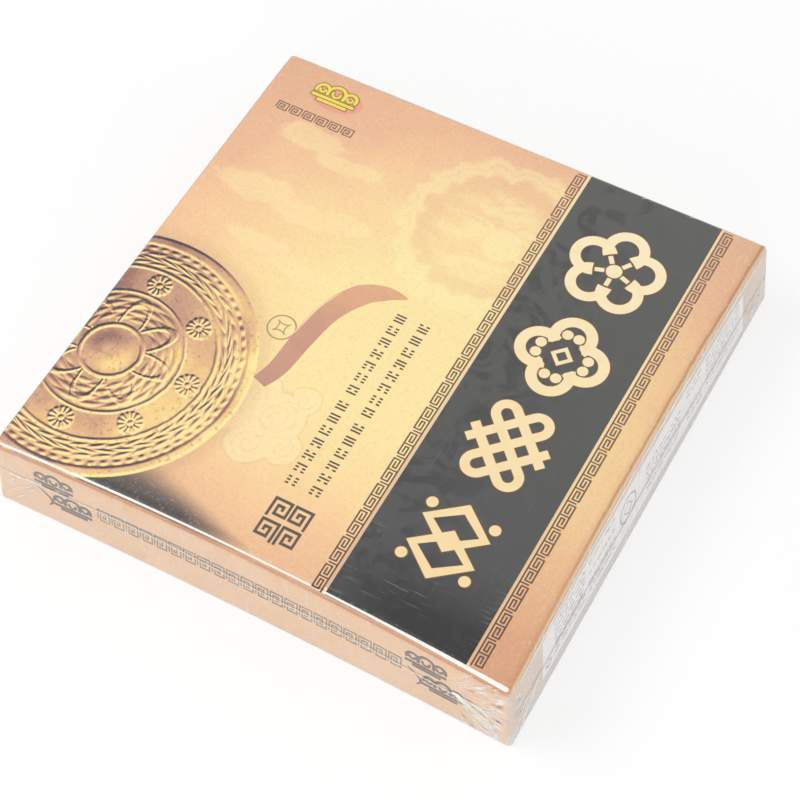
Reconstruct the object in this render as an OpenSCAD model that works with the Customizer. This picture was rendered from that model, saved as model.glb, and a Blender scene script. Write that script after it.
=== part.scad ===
// Chinese chess game box: a telescoping board box in clear shrink film, with a formed tray,
// thirty-two game pieces in two layers and a folded playing board under the tray.
// The origin is the middle of the underside: +X runs along the front edge, +Y to the back, +Z up.

/* [Game pieces] */
// Diameter of a game piece
piece_d = 40; // [36:0.5:44]
// Thickness of a game piece
piece_h = 12; // [9:0.5:15]
// Rounding where a piece's face meets its side
piece_edge_r = 1.5; // [0.8:0.1:3]
// How far a piece's side swells out at mid height
piece_swell = 0.5; // [0:0.1:1.5]
// Distance from a piece's rim to its ring groove
groove_margin = 3.6; // [3:0.1:8]
// Width of the ring groove
groove_w = 0.8; // [0.4:0.1:2]
// Depth of the ring groove
groove_depth = 0.4; // [0.1:0.1:1.5]

/* [Tray] */
// Thickness of the formed plastic sheet
tray_t = 0.35; // [0.2:0.05:0.8]
// Play of a piece in its pocket, all round
pocket_play = 0.2; // [0.1:0.05:1]
// Gap between the walls of two neighbouring pockets
pocket_gap = 0.1; // [0.1:0.05:3]
// Rounding at the foot of a pocket
pocket_foot_r = 0.8; // [0.3:0.1:1.5]
// Height that the upper pieces stand above the deck
piece_stand = 4; // [1:0.5:8]
// Radius of a finger well between four pockets
well_r = 12; // [10:0.5:16]
// Depth of a finger well below the deck
well_depth = 14; // [6:0.5:18]
// Rounding at the foot of a finger well
well_foot_r = 3; // [0.5:0.5:5]
// Width of the deck's border outside the pockets, left and right
border_x = 1.4; // [0.5:0.1:10]
// Width of the deck's border outside the pockets, front and back
border_y = 1.6; // [0.5:0.1:10]
// Radius of the tray's upright corners
tray_corner_r = 9; // [2:0.5:18]
// Play between the tray and the base's walls
tray_play = 0.7; // [0.3:0.1:3]

/* [Playing board] */
// Thickness of one folded layer of the playing board
sheet_t = 0.4; // [0.2:0.05:1]
// Gap between two folded layers
fold_gap = 0.1; // [0.05:0.05:0.5]
// Play between the folded board and the tray's skirt, left and right
fold_play_x = 11; // [2:0.5:30]
// Play between the folded board and the tray's skirt, front and back
fold_play_y = 4.5; // [2:0.5:30]

/* [Box] */
// Thickness of the grey board
board_t = 1; // [0.6:0.1:2]
// Thickness of the printed paper
paper_t = 0.15; // [0.1:0.01:0.3]
// Thickness of the tape that holds a corner of the board
stay_t = 0.1; // [0.05:0.01:0.2]
// Length of a corner tape on each side of its corner
stay_leg = 15; // [6:1:30]
// Thickness of the shrink film
film_t = 0.1; // [0.05:0.01:0.2]
// Gap between two skins that lie on each other
skin_gap = 0.05; // [0.03:0.01:0.1]
// Play between the base's walls and the lid's walls
lid_play = 0.4; // [0.3:0.05:1.5]
// Gap between the upper pieces and the lid's ceiling
head_room = 0.85; // [0.4:0.05:5]
// Gap between the base's top edge and the lid's ceiling
rim_drop = 0.3; // [0.3:0.05:3]
// Height of the lid's lower edge above the underside
rim_lift = 0.4; // [0.3:0.05:8]
// How far the paper turns over each edge of the board
turn_in = 12; // [4:0.5:18]

/* [Form] */
// Radius of the box's upright corners
corner_r = 3; // [1:0.1:8]
// Rounding of the box's top edge
edge_r = 1.8; // [0.8:0.1:4]
// How much wider each side wall stands at its foot than at its top
flare_x = 1.75; // [0:0.05:4]
// How much further the front and back walls stand out at their foot
flare_y = 3; // [0:0.05:4]
// How far the film pulls in the middle of the front wall at its top
front_bow_top = 2.8; // [0:0.1:5]
// How far it pulls in the front wall at its foot
front_bow_foot = 1.2; // [0:0.1:3]
// How far it pulls in the middle of the right wall at its top
right_bow_top = 1.35; // [0:0.05:4]
// How far it pulls in the right wall at its foot
right_bow_foot = 0; // [0:0.05:3]

/* [Hidden] */
columns = 4;
rows = 4;
fold_layers = 3;
side_steps = 12;
corner_steps = 5;
edge_steps = 4;
swell_steps = 6;
wall_levels = 3;
least_r = 0.2;
cut = 1;
$fn = 64;

RANKS = [
    "general", "advisor_1", "advisor_2", "elephant_1", "elephant_2", "horse_1", "horse_2", "chariot_1",
    "chariot_2", "cannon_1", "cannon_2", "soldier_1", "soldier_2", "soldier_3", "soldier_4", "soldier_5"
];
BLACK_NAMES = [for (rank = RANKS) str("black_", rank)];
RED_NAMES = [for (rank = RANKS) str("red_", rank)];

// The pieces set the pockets, and the pockets set the tray
pocket_r = piece_d / 2 + pocket_play;
pitch = 2 * (pocket_r + tray_t) + pocket_gap;
tray_w = (columns - 1) * pitch + 2 * (pocket_r + tray_t + border_x);
tray_d = (rows - 1) * pitch + 2 * (pocket_r + tray_t + border_y);

// Heights, each thing lying on the one below it
wrap_z = film_t + skin_gap;
floor_z = wrap_z + paper_t + skin_gap;
fold_z = floor_z + board_t + skin_gap;
fold_h = fold_layers * sheet_t + (fold_layers - 1) * fold_gap;
pocket_z = fold_z + fold_h + skin_gap;
lower_z = pocket_z + tray_t + skin_gap;
upper_z = lower_z + piece_h + skin_gap;
deck_z = upper_z + piece_h - piece_stand;
ceiling_z = upper_z + piece_h + head_room;
base_rim_z = ceiling_z - rim_drop;
lid_board_top = ceiling_z + board_t;
lid_wrap_top = lid_board_top + skin_gap + paper_t;
box_h = lid_wrap_top + skin_gap + film_t;

// Distances in from the outer face of the film to the outer face of each skin of the walls
lid_wrap_in = film_t + skin_gap;
lid_stay_in = lid_wrap_in + paper_t + skin_gap;
lid_board_in = lid_stay_in + stay_t + skin_gap;
lid_turn_in = lid_board_in + board_t + skin_gap;
base_wrap_in = lid_turn_in + paper_t + lid_play;
base_stay_in = base_wrap_in + paper_t + skin_gap;
base_board_in = base_stay_in + stay_t + skin_gap;
base_turn_in = base_board_in + board_t + skin_gap;
base_inside = base_turn_in + paper_t;

// The tray sets the box: at the height of its deck it has its play inside the base's walls
deck_share = deck_z / box_h;
foot_half_x = tray_w / 2 + tray_play + base_inside + flare_x * deck_share + right_bow(deck_share) / 2;
foot_half_y = tray_d / 2 + tray_play + base_inside + flare_y * deck_share + front_bow(deck_share) / 2;

// The contents stand in the middle of the room that the bowed walls leave
tray_x = -right_bow(deck_share) / 2;
tray_y = front_bow(deck_share) / 2;
fold_w = tray_w - 2 * tray_t - 2 * fold_play_x;
fold_d = tray_d - 2 * tray_t - 2 * fold_play_y;

// Bow of the right and front walls at a share of the box's height
function right_bow(share) = right_bow_foot + (right_bow_top - right_bow_foot) * share;
function front_bow(share) = front_bow_foot + (front_bow_top - front_bow_foot) * share;

// Half sizes of the outline at a share of the height, for a skin that lies inset from the film's face
function half_x(share, inset) = foot_half_x - flare_x * share - inset;
function half_y(share, inset) = foot_half_y - flare_y * share - inset;
function upright_r(inset) = max(corner_r - inset, least_r);
function direction(angle) = [cos(angle), sin(angle)];

// Middle of corner number k's arc, counted anticlockwise from back right
function arc_middle(k, share, inset) =
    let (r = upright_r(inset))
    [
        (k == 0 || k == 3 ? 1 : -1) * (half_x(share, inset) - r),
        (k < 2 ? 1 : -1) * (half_y(share, inset) - r)
    ];

// A point of the straight outline, pushed in where the front and right walls bow
function bowed(p, share, inset) =
    let (end = arc_middle(0, share, inset))
    [
        p.x - (p.x > 0 ? right_bow(share) * max(0, 1 - pow(p.y / end.y, 2)) : 0),
        p.y + (p.y < 0 ? front_bow(share) * max(0, 1 - pow(p.x / end.x, 2)) : 0)
    ];

// The whole outline, anticlockwise: each corner's arc, then the side that follows it
function outline(share, inset) =
    [
        for (k = [0:3])
            let (
                from = arc_middle(k, share, inset),
                to = arc_middle((k + 1) % 4, share, inset),
                arc = [for (i = [0:corner_steps]) from + upright_r(inset) * direction(90 * (k + i / corner_steps))],
                side = [for (i = [1:side_steps - 1]) arc[corner_steps] + (to - from) * i / side_steps]
            )
            for (p = concat(arc, side))
                bowed(p, share, inset)
    ];

// The path of a corner tape along the outline: one leg, the arc of corner k and the other leg
function stay_path(k, share, inset) =
    let (
        all = outline(share, inset),
        count = len(all),
        first = k * (corner_steps + side_steps),
        last = first + corner_steps,
        back = all[(first + count - 1) % count] - all[first],
        ahead = all[last + 1] - all[last]
    )
    concat(
        [all[first] + stay_leg * back / norm(back)],
        [for (i = [first:last]) all[i]],
        [all[last] + stay_leg * ahead / norm(ahead)]
    );

function reversed(list) = [for (i = [len(list) - 1:-1:0]) list[i]];
function at_height(points, z) = [for (p = points) [p.x, p.y, z]];
function ring(step) = at_height(outline(step[0] / box_h, step[1]), step[0]);

// Heights that all walls share between two heights, from the lower to the upper
function levels(low, high) =
    [for (i = [1:wall_levels - 1]) let (z = box_h * i / wall_levels) if (z > low && z < high) z];

// Steps of height and inset with a step added wherever the way from one to the next crosses a shared height
function refined(steps) =
    [
        for (i = [0:len(steps) - 1])
            let (
                a = steps[i],
                b = steps[min(i + 1, len(steps) - 1)],
                up = levels(a[0], b[0]),
                down = reversed(levels(b[0], a[0]))
            )
            each concat([a], [for (z = concat(up, down)) [z, a[1] + (b[1] - a[1]) * (z - a[0]) / (b[0] - a[0])]])
    ];

// The rounded top edge of a skin, from its wall up to its top face: steps of height and inset
function top_edge(top, inset) =
    let (r = max(edge_r - inset, least_r))
    [for (i = [0:edge_steps]) let (a = 90 * i / edge_steps) [top - r + r * sin(a), inset + r * (1 - cos(a))]];

// Two triangles for a four-sided patch, split along its shorter diagonal, so that parallel skins split alike
function patch(points, a, b, c, d) =
    norm(points[a] - points[c]) <= norm(points[b] - points[d])
        ? [[a, b, c], [a, c, d]]
        : [[a, b, d], [b, c, d]];

// The middle of a ring of points
function middle(points) = [for (p = points) 1] * points / len(points);

// A solid through rings of points, closed at the first ring and at the last by a fan round the ring's middle
module lofted(rings) {
    n = len(rings[0]);
    last = len(rings) - 1;
    walls = [for (ring_points = rings) each ring_points];
    points = concat(walls, [middle(rings[0]), middle(rings[last])]);
    polyhedron(
        points = points,
        faces = concat(
            [for (j = [0:n - 1]) [j, (j + 1) % n, len(walls)]],
            [
                for (i = [0:last - 1], j = [0:n - 1])
                    let (next = (j + 1) % n)
                    each patch(points, i * n + j, (i + 1) * n + j, (i + 1) * n + next, i * n + next)
            ],
            [for (j = [0:n - 1]) [last * n + (j + 1) % n, last * n + j, len(walls) + 1]]
        )
    );
}

// A cup or a tub of the box, from steps of height and inset that run from its lower face to its upper one
module walled(steps) {
    lofted([for (step = refined(steps)) ring(step)]);
}

// The four tapes that hold the corners of a board, between two heights, each lofted along its path
module corner_tapes(low, high, inset) {
    heights = concat([low], levels(low, high), [high]);
    for (k = [0:3]) {
        outer = [for (z = heights) at_height(stay_path(k, z / box_h, inset), z)];
        inner = [for (z = heights) at_height(stay_path(k, z / box_h, inset + stay_t), z)];
        lofted([
            for (i = [0:len(outer[0]) - 1])
                concat([for (path = inner) path[i]], [for (path = reversed(outer)) path[i]])
        ]);
    }
}

// A plate with rounded upright corners, centred
module plate(w, d, r, h) {
    linear_extrude(h)
        union() {
            square([w - 2 * r, d], center = true);
            square([w, d - 2 * r], center = true);
            for (x = [-1, 1], y = [-1, 1])
                translate([x * (w / 2 - r), y * (d / 2 - r)])
                    circle(r);
        }
}

// A round plug with a rounded foot, its foot at the origin
module plug(r, h, foot) {
    rotate_extrude()
        union() {
            square([r - foot, h]);
            translate([0, foot])
                square([r, h - foot]);
            translate([r - foot, foot])
                intersection() {
                    circle(foot);
                    translate([0, -foot])
                        square(foot);
                }
        }
}

// Places of the pockets, row by row from the front left, and of the finger wells
function pocket_place(k) =
    [
        tray_x + (k % columns - (columns - 1) / 2) * pitch,
        tray_y + (floor(k / columns) - (rows - 1) / 2) * pitch
    ];
function well_places() = [for (x = [-1, 1], y = [-1, 1]) [tray_x + x * pitch, tray_y + y * pitch]];

// Flat sheet of film under the base
module film_base() {
    color("whitesmoke", 0.4)
        linear_extrude(film_t)
            polygon(outline(0, 0));
}

// Paper round the base, turned over its top edge and down the inside
module base_wrap() {
    color("wheat")
        walled([
            [wrap_z, base_wrap_in],
            [base_rim_z, base_wrap_in],
            [base_rim_z, base_inside],
            [base_rim_z - turn_in, base_inside],
            [base_rim_z - turn_in, base_turn_in],
            [base_rim_z - paper_t, base_turn_in],
            [base_rim_z - paper_t, base_wrap_in + paper_t],
            [wrap_z + paper_t, base_wrap_in + paper_t]
        ]);
}

// Tapes on the base's four corners
module base_corner_stays() {
    color("burlywood")
        corner_tapes(floor_z, base_rim_z - paper_t - skin_gap, base_stay_in);
}

// Grey board of the base: a floor and four leaning walls
module base_board() {
    top = base_rim_z - paper_t - skin_gap;
    color("darkgray")
        walled([
            [floor_z, base_board_in],
            [top, base_board_in],
            [top, base_board_in + board_t],
            [floor_z + board_t, base_board_in + board_t]
        ]);
}

// Playing board, folded to and fro in three layers, with a round bend at each fold
module folded_board() {
    step = sheet_t + fold_gap;
    bend = (2 * sheet_t + fold_gap) / 2;
    run = fold_w - 2 * bend;
    color("ivory")
        translate([tray_x, tray_y + fold_d / 2, fold_z])
            rotate([90, 0, 0])
                linear_extrude(fold_d)
                    union() {
                        for (i = [0:fold_layers - 1])
                            translate([-run / 2, i * step])
                                square([run, sheet_t]);
                        for (i = [0:fold_layers - 2], side = [i % 2 == 0 ? 1 : -1])
                            translate([side * run / 2, i * step + bend])
                                difference() {
                                    circle(bend);
                                    circle(fold_gap / 2);
                                    translate([side > 0 ? -2 * bend : 0, -bend])
                                        square(2 * bend);
                                }
                    }
}

// Formed tray: a deck with a skirt, sixteen pockets two pieces deep and four finger wells
module tray() {
    skirt_z = fold_z;
    color("gainsboro")
        difference() {
            union() {
                translate([tray_x, tray_y, deck_z - tray_t])
                    plate(tray_w, tray_d, tray_corner_r, tray_t);
                translate([tray_x, tray_y, skirt_z])
                    difference() {
                        plate(tray_w, tray_d, tray_corner_r, deck_z - skirt_z);
                        translate([0, 0, -cut])
                            plate(
                                tray_w - 2 * tray_t, tray_d - 2 * tray_t, tray_corner_r - tray_t,
                                deck_z - skirt_z + 2 * cut
                            );
                    }
                for (k = [0:columns * rows - 1])
                    translate(concat(pocket_place(k), pocket_z))
                        plug(pocket_r + tray_t, deck_z - pocket_z, pocket_foot_r + tray_t);
                for (place = well_places())
                    translate(concat(place, deck_z - well_depth - tray_t))
                        plug(well_r + tray_t, well_depth + tray_t, well_foot_r + tray_t);
            }
            for (k = [0:columns * rows - 1])
                translate(concat(pocket_place(k), pocket_z + tray_t))
                    plug(pocket_r, deck_z - pocket_z, pocket_foot_r);
            for (place = well_places())
                translate(concat(place, deck_z - well_depth))
                    plug(well_r, well_depth + cut, well_foot_r);
        }
}

// Half section of a game piece: rounded rims, a swelling side and a ring groove in the upper face
function piece_section() =
    let (
        face_r = piece_d / 2 - piece_swell,
        r = piece_edge_r,
        ring_r = piece_d / 2 - groove_margin,
        floor = piece_h - groove_depth
    )
    concat(
        [[0, 0]],
        [for (a = [0:30:90]) [face_r - r + r * sin(a), r - r * cos(a)]],
        [
            for (i = [1:swell_steps - 1])
                let (u = i / swell_steps)
                [face_r + piece_swell * (1 - pow(2 * u - 1, 2)), r + u * (piece_h - 2 * r)]
        ],
        [for (a = [0:30:90]) [face_r - r + r * cos(a), piece_h - r + r * sin(a)]],
        [[ring_r, piece_h], [ring_r, floor], [ring_r - groove_w, floor], [ring_r - groove_w, piece_h]],
        [[0, piece_h]]
    );

// One game piece in pocket k, with its underside at a height
module game_piece(k, z) {
    translate(concat(pocket_place(k), z))
        rotate_extrude()
            polygon(piece_section());
}

// A black piece lies in the lower layer, a red one on it
module black_piece(k) {
    color("saddlebrown")
        game_piece(k, lower_z);
}

module red_piece(k) {
    color("peru")
        game_piece(k, upper_z);
}

// Grey board of the lid: a top and four leaning walls that reach down over the base
module lid_board() {
    foot = rim_lift + paper_t + skin_gap;
    color("darkgray")
        walled(concat(
            [
                [ceiling_z, lid_board_in + board_t],
                [foot, lid_board_in + board_t],
                [foot, lid_board_in]
            ],
            top_edge(lid_board_top, lid_board_in)
        ));
}

// Tapes on the lid's four corners
module lid_corner_stays() {
    color("burlywood")
        corner_tapes(rim_lift + paper_t + skin_gap, lid_board_top - edge_r, lid_stay_in);
}

// Printed paper over the lid, turned under its lower edge and up the inside
module lid_wrap() {
    color("tan")
        walled(concat(
            reversed(top_edge(lid_wrap_top - paper_t, lid_wrap_in + paper_t)),
            [
                [rim_lift + paper_t, lid_wrap_in + paper_t],
                [rim_lift + paper_t, lid_turn_in],
                [rim_lift + turn_in, lid_turn_in],
                [rim_lift + turn_in, lid_turn_in + paper_t],
                [rim_lift, lid_turn_in + paper_t],
                [rim_lift, lid_wrap_in]
            ],
            top_edge(lid_wrap_top, lid_wrap_in)
        ));
}

// Clear film over the lid's top and walls
module film_lid() {
    color("white", 0.3)
        walled(concat(
            reversed(top_edge(box_h - film_t, film_t)),
            [[rim_lift, film_t], [rim_lift, 0]],
            top_edge(box_h, 0)
        ));
}

film_base();
base_wrap();
base_corner_stays();
base_board();
folded_board();
tray();
for (k = [0:len(RANKS) - 1]) black_piece(k);
for (k = [0:len(RANKS) - 1]) red_piece(k);
lid_board();
lid_corner_stays();
lid_wrap();
film_lid();
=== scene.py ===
# Looks of a Chinese chess game box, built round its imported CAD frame: printed papers on a telescoping
# board box, the clear shrink film with its weld seam and gathers, and the set that lies inside.
# Meshes are in metres. Patterns and prints are laid out in millimetres on the same origin.

import functools
import math
import random

import bmesh
import bpy
from mathutils import Matrix, Vector
from mathutils.bvhtree import BVHTree


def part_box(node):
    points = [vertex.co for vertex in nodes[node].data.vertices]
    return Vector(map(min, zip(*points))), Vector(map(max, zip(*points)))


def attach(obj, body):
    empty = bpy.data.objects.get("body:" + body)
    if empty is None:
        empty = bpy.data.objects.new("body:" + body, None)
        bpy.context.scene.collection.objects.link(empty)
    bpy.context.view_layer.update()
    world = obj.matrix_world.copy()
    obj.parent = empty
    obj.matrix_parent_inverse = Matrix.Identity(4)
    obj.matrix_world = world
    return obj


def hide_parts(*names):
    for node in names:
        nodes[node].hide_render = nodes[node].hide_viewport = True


MM = 0.001
UP = Vector((0, 0, 1))
FRONT, RIGHT = Vector((0, -1, 0)), Vector((1, 0, 0))
WAYS = {"front": FRONT, "right": RIGHT, "back": -FRONT, "left": -RIGHT}

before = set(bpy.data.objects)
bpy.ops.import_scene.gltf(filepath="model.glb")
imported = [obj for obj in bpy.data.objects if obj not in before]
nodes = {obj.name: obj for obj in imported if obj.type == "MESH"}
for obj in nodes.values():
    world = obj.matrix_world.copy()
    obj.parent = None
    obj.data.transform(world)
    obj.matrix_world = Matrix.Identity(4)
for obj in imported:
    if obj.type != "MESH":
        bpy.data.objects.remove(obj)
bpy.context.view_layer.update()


def new_object(name, data):
    """A new object in the scene."""
    made = bpy.data.objects.new(name, data)
    bpy.context.scene.collection.objects.link(made)
    return made


def mesh_data(name, mesh):
    """Turns a finished bmesh into mesh data and frees it."""
    data = bpy.data.meshes.new(name)
    mesh.to_mesh(data)
    mesh.free()
    return data


# Camera and light

AZIMUTH = math.radians(30.843)
ELEVATION = math.radians(56.8125)
ROLL = math.radians(-2.275)
LENS = 95.6
SENSOR_WIDTH = 36
CAMERA_DISTANCE = 0.6826
CAMERA_TARGET = Vector((3.28, -1.44, 0)) * MM


def make_camera():
    """The camera at the photograph's place, tilted a little about its own axis."""
    level = math.cos(ELEVATION)
    back = Vector((math.sin(AZIMUTH) * level, -math.cos(AZIMUTH) * level, math.sin(ELEVATION)))
    right = UP.cross(back).normalized()
    above = back.cross(right)
    tilted_right = math.cos(ROLL) * right + math.sin(ROLL) * above
    tilted_above = math.cos(ROLL) * above - math.sin(ROLL) * right
    turn = Matrix((tilted_right, tilted_above, back)).transposed().to_4x4()
    data = bpy.data.cameras.new("camera")
    data.lens = LENS
    data.sensor_width = SENSOR_WIDTH
    camera = new_object("camera", data)
    camera.matrix_world = Matrix.Translation(CAMERA_TARGET + CAMERA_DISTANCE * back) @ turn
    bpy.context.scene.camera = camera


def soft_lamp(name, place, aim, size, power):
    """A soft box that looks from its place to its aim, both in metres."""
    data = bpy.data.lights.new(name, "AREA")
    data.shape = "RECTANGLE"
    data.size, data.size_y = size
    data.energy = power
    way = Vector(aim) - Vector(place)
    turn = way.to_track_quat("-Z", "Y").to_matrix().to_4x4()
    new_object(name, data).matrix_world = Matrix.Translation(place) @ turn


# Shaders

def tint(code):
    """A colour as it looks on screen, given as six hex digits, for a colour socket."""
    shares = [int(code[i:i + 2], 16) / 255 for i in (0, 2, 4)]
    return tuple(s / 12.92 if s <= 0.04045 else ((s + 0.055) / 1.055) ** 2.4 for s in shares) + (1,)


class Wire:
    """A socket of a finish that can be used in sums."""

    def __init__(self, finish, socket):
        self.finish = finish
        self.socket = socket

    def sum(self, operation, *others):
        return self.finish.node("Math", {"operation": operation}, self, *others)

    def __add__(self, other):
        return self.sum("ADD", other)

    def __sub__(self, other):
        return self.sum("SUBTRACT", other)

    def __rsub__(self, other):
        return self.finish.node("Math", {"operation": "SUBTRACT"}, other, self)

    def __mul__(self, other):
        return self.sum("MULTIPLY", other)

    __radd__ = __add__
    __rmul__ = __mul__

    def __truediv__(self, other):
        return self.sum("DIVIDE", other)

    def __pow__(self, other):
        return self.sum("POWER", other)

    def clamped(self):
        return self.finish.node("Clamp", {}, self)

    def absolute(self):
        return self.sum("ABSOLUTE")

    def sine(self):
        return self.sum("SINE")

    def cosine(self):
        return self.sum("COSINE")

    def bearing(self, x):
        """Angle from the right of a way with this y and the given x."""
        return self.sum("ARCTAN2", x)

    def least(self, other):
        return self.sum("MINIMUM", other)

    def most(self, other):
        return self.sum("MAXIMUM", other)

    def step(self, low, high):
        """0 below low and 1 above high, with a smooth way between; low may be the greater."""
        return self.finish.node("MapRange", {"interpolation_type": "SMOOTHSTEP"}, self, low, high, 0, 1)

    def within(self, low, high, soft):
        return self.step(low - soft, low + soft) * self.step(high + soft, high - soft)


def span(x, y):
    """Length of a way with these two legs."""
    return (x ** 2 + y ** 2) ** 0.5


class Finish:
    """A material under construction. Its places are in millimetres on the object's own axes."""

    def __init__(self, name, surround=None):
        self.material = surround or bpy.data.materials.new(name)
        self.material.use_nodes = True
        self.tree = self.material.node_tree
        self.tree.nodes.clear()
        if surround:
            return
        metres = self.node("TexCoord", {}, output="Object")
        self.place = self.node("VectorMath", {"operation": "MULTIPLY"}, metres, (1000, 1000, 1000))
        self.x, self.y, self.z = (self.node("SeparateXYZ", {}, self.place, output=axis) for axis in "XYZ")

    def node(self, kind, settings, *values, output=0, **named):
        """Adds a node: its settings first, then its sockets in order or by name, each a number or a wire."""
        made = self.tree.nodes.new("ShaderNode" + kind)
        for name, value in settings.items():
            if name == "stops":
                ramp = made.color_ramp
                for place, code in value[2:]:
                    ramp.elements.new(place)
                for stop, (place, code) in zip(ramp.elements, value):
                    stop.position = place
                    stop.color = tint(code)
            else:
                setattr(made, name, value)
        live = [s for s in made.inputs if s.enabled]
        by_name = {s.name.lower().replace(" ", "_"): s for s in live}
        pairs = list(zip(live, values)) + [(by_name[k], v) for k, v in named.items()]
        for socket, value in pairs:
            if isinstance(value, Wire):
                self.tree.links.new(value.socket, socket)
            elif value is not None:
                socket.default_value = tint(value) if isinstance(value, str) else value
        outputs = made.outputs if isinstance(output, str) else [s for s in made.outputs if s.enabled]
        return Wire(self, outputs[output])

    def mix(self, share, below, above):
        """One colour over another; colours are wires or six hex digits."""
        return self.node("Mix", {"data_type": "RGBA"}, share, below, above)

    def over(self, colour, *layers):
        """Lays more colours over a colour in turn, each by its own share."""
        for share, above in layers:
            colour = self.mix(share, colour, above)
        return colour

    def stretched(self, x=1, y=1, z=1, turn=0):
        """Places scaled along each axis after a turn about the upright, in millimetres."""
        return self.node("Mapping", {}, self.place, (0, 0, 0), (0, 0, turn), (x, y, z))

    def noise(self, size, detail=3, rough=0.5, place=None, swirl=0):
        """Cloudy noise with features of about size millimetres, from 0 to 1."""
        return self.node("TexNoise", {}, place or self.place, 1 / size, detail, rough, 2, swirl)

    def bump(self, height, depth):
        """A normal from heights of 0 to 1 that stand for a depth in millimetres."""
        return self.node("Bump", {}, 1, depth * MM, height=height)

    def ramp(self, share, *stops):
        return self.node("ValToRGB", {"stops": stops}, share)

    def radius(self, x, y):
        """Distance from an upright axis in millimetres."""
        return span(self.x - x, self.y - y)

    def depth_share(self, ahead=88, length=176):
        """From 0 to 1 over a length backwards, from a line so far ahead of the middle."""
        return ((self.y + ahead) / length).clamped()

    def seen(self):
        """1 for what the camera, a gloss or a glass looks at, 0 for the light that falls on other things."""
        kinds = ("Is Camera Ray", "Is Glossy Ray", "Is Transmission Ray")
        return functools.reduce(Wire.most, [self.node("LightPath", {}, output=kind) for kind in kinds])

    def close(self, shader, kind="Material"):
        out = self.tree.nodes.new("ShaderNodeOutput" + kind)
        self.tree.links.new(shader.socket, out.inputs["Surface"])
        return self.material

    def done(self, colour, roughness, **more):
        """Closes the finish with one Principled shader and returns the material."""
        return self.close(self.node("BsdfPrincipled", {}, base_color=colour, roughness=roughness, **more))

    def printed(self, colour, roughness=0.42, wave=0.02, **more):
        """Closes a printed finish under the paper's gloss, wavy by a depth in millimetres."""
        if wave:
            more["normal"] = self.bump(self.noise(9, 2), wave)
        return self.done(colour, roughness, **(GLOSS | more))


# Gloss that every printed paper has
GLOSS = {"specular_ior_level": 0.25, "coat_weight": 0.5, "coat_roughness": 0.12, "coat_ior": 1.45}

# Layout of the printed top in millimetres: heights, the flat part's limits, and places from the middle
PAPER_TOP = 29.35
PRINT_FLOOR = PAPER_TOP + 0.002
FILL_FLOOR = 29.372
FLAT_HALF = 86.5
FLAT_BACK = 87.1
FLAT_FRONT = 87.05
FRONT_BOW = 2.75
RIGHT_BOW = 1.35
BAND_X = (26.15, 72.7)
BAND_MIDDLE = 49.4
LEFT_RULE_X = (25.15, 26.2)
RIGHT_RULE_X = (72.65, 73.25)
MIRROR = (-75, -44)
STUD_R = 28
ROUNDEL = (8.5, 50)
CLOUD_BANKS = (
    (-62, 59, 15, 5), (-47, 54, 12, 3.6), (-68, 33, 15, 5.5), (-50, 30, 15, 4.5),
    (-34, 33, 10, 3.6), (-56, 14, 12, 3.6), (-38, 10, 12, 3.2),
)
CLOUD_CURLS = (
    (-27, -36, 8), (-17, -41, 9.5), (-31, -46, 7), (-20, -53, 7.5), (-10, -50, 6),
    (-37, -38, 5.5), (-12, -32, 5),
)
CURL_PITCH = 2.6


def sky(ink, blotch):
    """Ground of the lid's top: cream in the middle and peach at its edges, with clouds and a sun roundel."""
    away = span((ink.x - 12) / 112, (ink.y + 2) / 88) + (blotch - 0.5) * 0.3
    ground = ink.ramp(
        away, (0, "fce5a2"), (0.35, "fce4a1"), (0.62, "fbd89b"), (0.9, "f3c395"), (1, "ecb890")
    )
    # long soft clouds at the left
    ruffle = (ink.noise(6, 5, 0.6) - 0.5) * 1.1 + (ink.noise(16, 2) - 0.5) * 0.8
    banks = [span((ink.x - x) / wide, (ink.y - y) / high) for x, y, wide, high in CLOUD_BANKS]
    puff = (functools.reduce(Wire.least, banks) + ruffle).step(1.15, 0.75)
    # the sun roundel: a soft pale ring with a ragged border, and haze round a pale disc
    r = ink.radius(*ROUNDEL)
    angle = (ink.y - ROUNDEL[1]).bearing(ink.x - ROUNDEL[0])
    ragged = r - (angle * 9).sine().absolute() * 1.6 + (ink.noise(7, 4) - 0.5) * 9
    ring = ragged.within(24.5, 30.5, 1.5) * (1 - ragged.within(27, 28, 0.6) * 0.45)
    haze = ink.noise(10, 4, 0.6, ink.stretched(0.6, 1.3), 0.8).step(0.42, 0.62) * r.step(24, 12)
    disc = ink.radius(ROUNDEL[0] + 5, ROUNDEL[1] - 1).step(7, 5.8)
    # pale curled clouds with fine outlines, low in the middle
    rims, coils = [], []
    for x, y, size in CLOUD_CURLS:
        near = ink.radius(x, y)
        rims.append(near - size)
        coil = (near * (math.tau / CURL_PITCH) - (ink.y - y).bearing(ink.x - x)).sine().step(0.7, 0.95)
        coils.append(coil * near.step(size * 0.72, size * 0.6))
    rim = functools.reduce(Wire.least, rims) + (ink.noise(6, 3) - 0.5) * 3
    line = rim.within(-0.3, 0.3, 0.3).most(functools.reduce(Wire.most, coils) * 0.6)
    return ink.over(
        ground,
        (away.step(1, 1.35) * 0.4, "d09c7e"),
        (ink.y.step(-55, -88) * 0.3, "dda97e"),
        (puff * (0.25 + ink.noise(9, 3) * 0.45), "ffe6a8"),
        ((ring * 0.45).most(haze * 0.5).most(disc * 0.55), "fff0b0"),
        (ragged.within(17, 23.5, 1.5) * (1 - haze) * 0.25, "e6b98c"),
        (rim.step(0.6, -0.8) * 0.42, "ffebb8"),
        (line * 0.22, "d9a274"),
    )


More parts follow.
